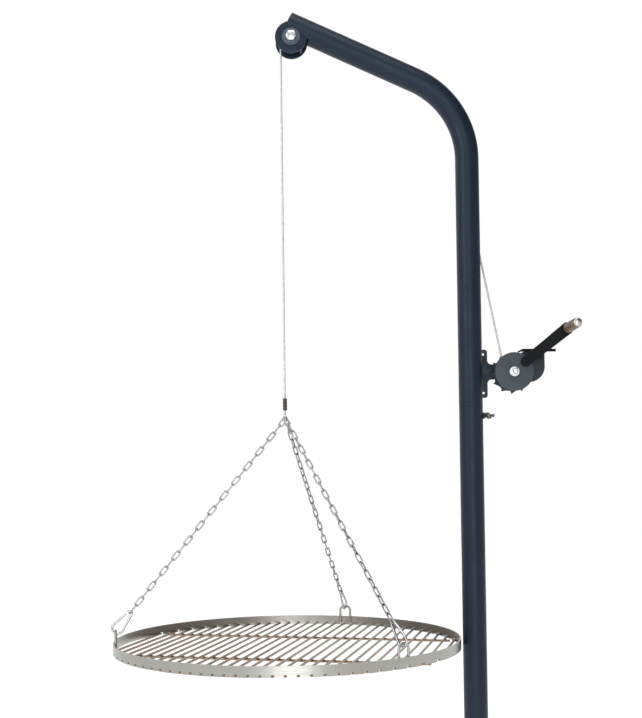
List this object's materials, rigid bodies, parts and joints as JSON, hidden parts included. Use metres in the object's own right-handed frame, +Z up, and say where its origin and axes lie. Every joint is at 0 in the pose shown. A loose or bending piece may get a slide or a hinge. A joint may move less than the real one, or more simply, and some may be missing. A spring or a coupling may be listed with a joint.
{
  "type": "swing-arm fire pit grill with winch",
  "caption": "Bent tube mast in a spiked ground socket; a ratchet winch raises a round grate that hangs from chains under the boom's sheave",
  "frame": {"origin": "mast axis at ground level, on the underside of the socket's stop plate", "axes": "+Z up along the mast, -X towards the boom's tip and the grate, +X towards the winch, -Y towards the crank's grip"},
  "size_m": [0.9344, 0.7, 2.0383],
  "materials": {
    "mast_paint": "satin powder coat, dark anthracite blue",
    "socket_paint": "gloss black paint",
    "bolt_black": "blackened steel",
    "spigot_steel": "dark coated steel",
    "wing_steel": "dull zinc plated steel",
    "bright_steel": "bright zinc plated steel",
    "washer_steel": "dull zinc plated steel",
    "winch_paint": "matt powder coat, dark slate",
    "disc_paint": "matt powder coat, slate",
    "arm_paint": "satin black paint",
    "sheave_coat": "black oxide",
    "rope_steel": "galvanised stranded wire",
    "ferrule_metal": "dull crimped ferrule, brownish",
    "chain_steel": "bright welded steel wire",
    "hook_steel": "polished steel wire",
    "rim_stainless": "brushed stainless band",
    "rod_stainless": "stainless rod with a brown heat tint",
    "grip_wood": "oiled brown hardwood",
    "grip_metal": "polished steel"
  },
  "bodies": {
    "ground_socket": {"stop_plate": "socket_paint", "socket_sleeve": "socket_paint", "ground_spike": "socket_paint", "clamp_nut": "socket_paint", "clamp_bolt": "bolt_black"},
    "lower_mast": {"lower_mast": "mast_paint", "wing_screw_nut": "mast_paint"},
    "wing_screw": {"wing_screw": "wing_steel"},
    "boom": {"upper_mast": "mast_paint", "mast_spigot": "spigot_steel", "tip_cheek_front": "mast_paint", "tip_cheek_rear": "mast_paint", "keeper_rivet": "mast_paint", "sheave_bolt": "bright_steel", "sheave_washers": "washer_steel", "sheave_nut": "bright_steel", "winch_plate": "winch_paint", "winch_axle": "bright_steel", "axle_spacer": "bright_steel", "axle_washer": "bright_steel", "axle_nut": "bright_steel", "pawl_pin": "winch_paint", "rope_run": "rope_steel"},
    "sheave": {"sheave": "sheave_coat"},
    "pawl": {"pawl": "arm_paint"},
    "winch_drum": {"winch_drum": "winch_paint", "drum_disc": "disc_paint", "ratchet_wheel": "winch_paint", "crank_arm": "arm_paint", "grip_pin": "grip_metal", "rope_winding": "rope_steel"},
    "grip": {"grip": "grip_wood"},
    "rope_fall": {"rope_fall": "rope_steel"},
    "rope_tail": {"rope_tail": "rope_steel"},
    "grate": {"rope_ferrule": "ferrule_metal", "rope_loop": "rope_steel", "chain_left": "chain_steel", "chain_rear": "chain_steel", "chain_front": "chain_steel", "snap_hook_left": "hook_steel", "snap_hook_rear": "hook_steel", "snap_hook_front": "hook_steel", "gate_rivets": "hook_steel", "grate_eyes": "rim_stainless", "grate_rim": "rim_stainless", "grill_rods": "rod_stainless", "cross_bars": "rod_stainless"},
    "hook_gate_left": {"hook_gate_left": "hook_steel"},
    "hook_gate_rear": {"hook_gate_rear": "hook_steel"},
    "hook_gate_front": {"hook_gate_front": "hook_steel"}
  },
  "joints": [
    {"name": "mast_lift_out", "type": "slide", "parent": "ground_socket", "child": "lower_mast", "axis": [0, 0, 1], "range_m": [0, 0.19]},
    {"name": "wing_screw_turn", "type": "hinge", "parent": "lower_mast", "child": "wing_screw", "pos_m": [0.035, 0, 0.982], "axis": [1, 0, 0], "continuous": true},
    {"name": "boom_swing", "type": "hinge", "parent": "lower_mast", "child": "boom", "pos_m": [0, 0, 1], "axis": [0, 0, 1], "continuous": true},
    {"name": "sheave_spin", "type": "hinge", "parent": "boom", "child": "sheave", "pos_m": [-0.358, 0, 1.76299], "axis": [0, 1, 0], "range_deg": [-812, 812]},
    {"name": "pawl_swing", "type": "hinge", "parent": "boom", "child": "pawl", "pos_m": [0.143, 0.018, 1.107], "axis": [0, -1, 0], "range_deg": [-35, 6]},
    {"name": "winch_turn", "type": "hinge", "parent": "boom", "child": "winch_drum", "pos_m": [0.087, 0, 1.07], "axis": [0, -1, 0], "range_deg": [-1081, 1081]},
    {"name": "grip_spin", "type": "hinge", "parent": "winch_drum", "child": "grip", "pos_m": [0.19195, -0.08, 1.15403], "axis": [0, -1, 0], "continuous": true},
    {"name": "grate_sway", "type": "hinge", "parent": "boom", "child": "rope_fall", "pos_m": [-0.38, 0, 1.76299], "axis": [1, 0, 0], "range_deg": [-8, 8]},
    {"name": "grate_lift", "type": "slide", "parent": "rope_fall", "child": "rope_tail", "axis": [0, 0, 1], "range_m": [-0.31102, 0.31102], "deforming": ["rope_fall"]},
    {"name": "grate_swivel", "type": "hinge", "parent": "rope_tail", "child": "grate", "pos_m": [-0.38, 0, 1.0224], "axis": [0, 0, 1], "continuous": true},
    {"name": "gate_left", "type": "hinge", "parent": "grate", "child": "hook_gate_left", "pos_m": [-0.69956, -0.05061, 0.59474], "axis": [0.1564, -0.9877, 0], "range_deg": [0, 24], "stiffness_Nm_per_rad": 0.05, "springref_deg": -20.05},
    {"name": "gate_rear", "type": "hinge", "parent": "grate", "child": "hook_gate_rear", "pos_m": [-0.26405, 0.3024, 0.59494], "axis": [-0.9315, 0.3637, 0], "range_deg": [0, 24], "stiffness_Nm_per_rad": 0.05, "springref_deg": -20.05},
    {"name": "gate_front", "type": "hinge", "parent": "grate", "child": "hook_gate_front", "pos_m": [-0.17637, -0.25179, 0.59492], "axis": [0.7707, 0.6371, 0], "range_deg": [0, 24], "stiffness_Nm_per_rad": 0.05, "springref_deg": -20.05}
  ],
  "couplings": [
    {"joint": "winch_turn", "follows": "grate_lift", "rad_per_m": 60.606},
    {"joint": "sheave_spin", "follows": "grate_lift", "rad_per_m": 45.455}
  ]
}
